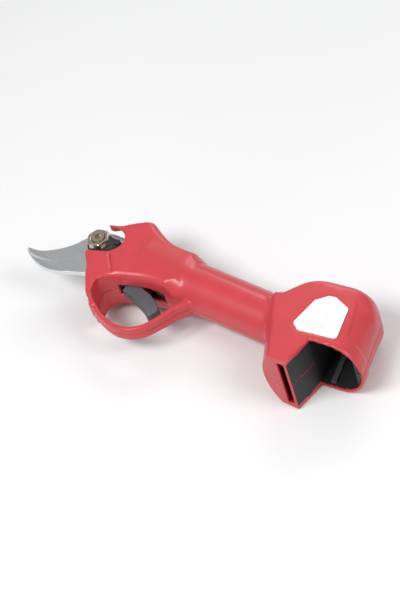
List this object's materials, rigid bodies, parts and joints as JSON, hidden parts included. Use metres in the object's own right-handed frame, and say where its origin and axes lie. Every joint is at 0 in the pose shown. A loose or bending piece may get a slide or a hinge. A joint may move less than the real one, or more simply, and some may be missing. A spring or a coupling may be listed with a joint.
{
  "type": "battery electric pruner",
  "caption": "Handheld battery-powered bypass pruner: motor-driven curved blade over a hook blade, finger guard with trigger, round handle and open battery bay.",
  "frame": {"origin": "bottom centre of the tool's box, lying on its far side", "axes": "+X from the blade tip to the battery housing, -Y the trigger side, +Z towards the pivot nut"},
  "size_m": [0.2892, 0.0966, 0.0482],
  "materials": {
    "red_housing": "satin",
    "dark_plastic": "satin",
    "blade_steel": "ground",
    "bright_steel": "satin plated",
    "black_steel": "black oxide",
    "screw_steel": "zinc",
    "gear_steel": "machined",
    "frame_alloy": "cast, satin",
    "label": "printed film, plain",
    "motor_black": "satin",
    "copper": "satin",
    "contact": "plated",
    "board": "solder mask",
    "bronze": "sintered bronze",
    "lead": "matt"
  },
  "bodies": {
    "tool": {"battery_contacts": "contact", "battery_leads": "lead", "battery_rails": "dark_plastic", "blade_screws": "black_steel", "board_heatsink": "frame_alloy", "buzzer": "dark_plastic", "capacitors": "dark_plastic", "control_board": "board", "fixed_blade": "blade_steel", "gearbox_housing": "gear_steel", "hall_sensor_board": "board", "head_frame": "frame_alloy", "housing_screws": "screw_steel", "left_housing": "red_housing", "lock_plate": "black_steel", "lock_screw": "black_steel", "motor_bearings": "screw_steel", "motor_can": "motor_black", "motor_end_cap": "frame_alloy", "motor_leads": "lead", "motor_stator": "gear_steel", "output_bearing": "screw_steel", "pivot_bolt": "bright_steel", "pivot_nut": "bright_steel", "power_transistors": "motor_black", "rating_label": "label", "right_housing": "red_housing", "rocker_frame": "dark_plastic", "terminal_block": "dark_plastic", "thrust_washer": "bronze", "trigger_pin": "screw_steel", "trigger_spring": "screw_steel"},
    "blade": {"moving_blade": "blade_steel", "sector_gear": "gear_steel", "sector_rivets": "gear_steel", "pivot_bushing": "bronze"},
    "output": {"drive_pinion": "gear_steel", "planet_carrier": "gear_steel", "planet_pins": "gear_steel"},
    "planet_1": {"planet_gear_1": "gear_steel"},
    "planet_2": {"planet_gear_2": "gear_steel"},
    "planet_3": {"planet_gear_3": "gear_steel"},
    "rotor": {"motor_rotor": "copper", "motor_shaft": "gear_steel", "sun_gear": "gear_steel"},
    "trigger": {"trigger": "dark_plastic", "trigger_magnet": "screw_steel"},
    "rocker": {"power_rocker": "dark_plastic"}
  },
  "joints": [
    {"name": "blade_pivot", "type": "hinge", "parent": "tool", "child": "blade", "pos_m": [-0.09137, 0.00605, 0.0269], "axis": [0, 0, -1], "range_deg": [0, 48]},
    {"name": "output_spin", "type": "hinge", "parent": "tool", "child": "output", "pos_m": [-0.06142, 0.00773, 0.0214], "axis": [0.9984, 0.0558, 0], "range_deg": [0, 240]},
    {"name": "rotor_spin", "type": "hinge", "parent": "tool", "child": "rotor", "pos_m": [-0.03147, 0.0094, 0.0214], "axis": [0.9984, 0.0558, 0], "range_deg": [0, 1080]},
    {"name": "planet_1_spin", "type": "hinge", "parent": "output", "child": "planet_1", "pos_m": [-0.04981, 0.01513, 0.0214], "axis": [0.9984, 0.0558, 0], "range_deg": [-672, 0]},
    {"name": "planet_2_spin", "type": "hinge", "parent": "output", "child": "planet_2", "pos_m": [-0.04925, 0.00502, 0.02725], "axis": [0.9984, 0.0558, 0], "range_deg": [-672, 0]},
    {"name": "planet_3_spin", "type": "hinge", "parent": "output", "child": "planet_3", "pos_m": [-0.04925, 0.00502, 0.01555], "axis": [0.9984, 0.0558, 0], "range_deg": [-672, 0]},
    {"name": "trigger_pull", "type": "hinge", "parent": "tool", "child": "trigger", "pos_m": [-0.05037, -0.00735, 0.024], "axis": [0, 0, 1], "range_deg": [0, 9], "stiffness_Nm_per_rad": 0.2, "springref_deg": -14.32},
    {"name": "rocker_tilt", "type": "hinge", "parent": "tool", "child": "rocker", "pos_m": [0.10263, 0.03555, 0.002], "axis": [0, 1, 0], "range_deg": [-16, 0]}
  ],
  "couplings": [
    {"joint": "output_spin", "follows": "blade_pivot", "ratio": 5},
    {"joint": "rotor_spin", "follows": "blade_pivot", "ratio": 22.5},
    {"joint": "planet_1_spin", "follows": "blade_pivot", "ratio": -14},
    {"joint": "planet_2_spin", "follows": "blade_pivot", "ratio": -14},
    {"joint": "planet_3_spin", "follows": "blade_pivot", "ratio": -14}
  ]
}
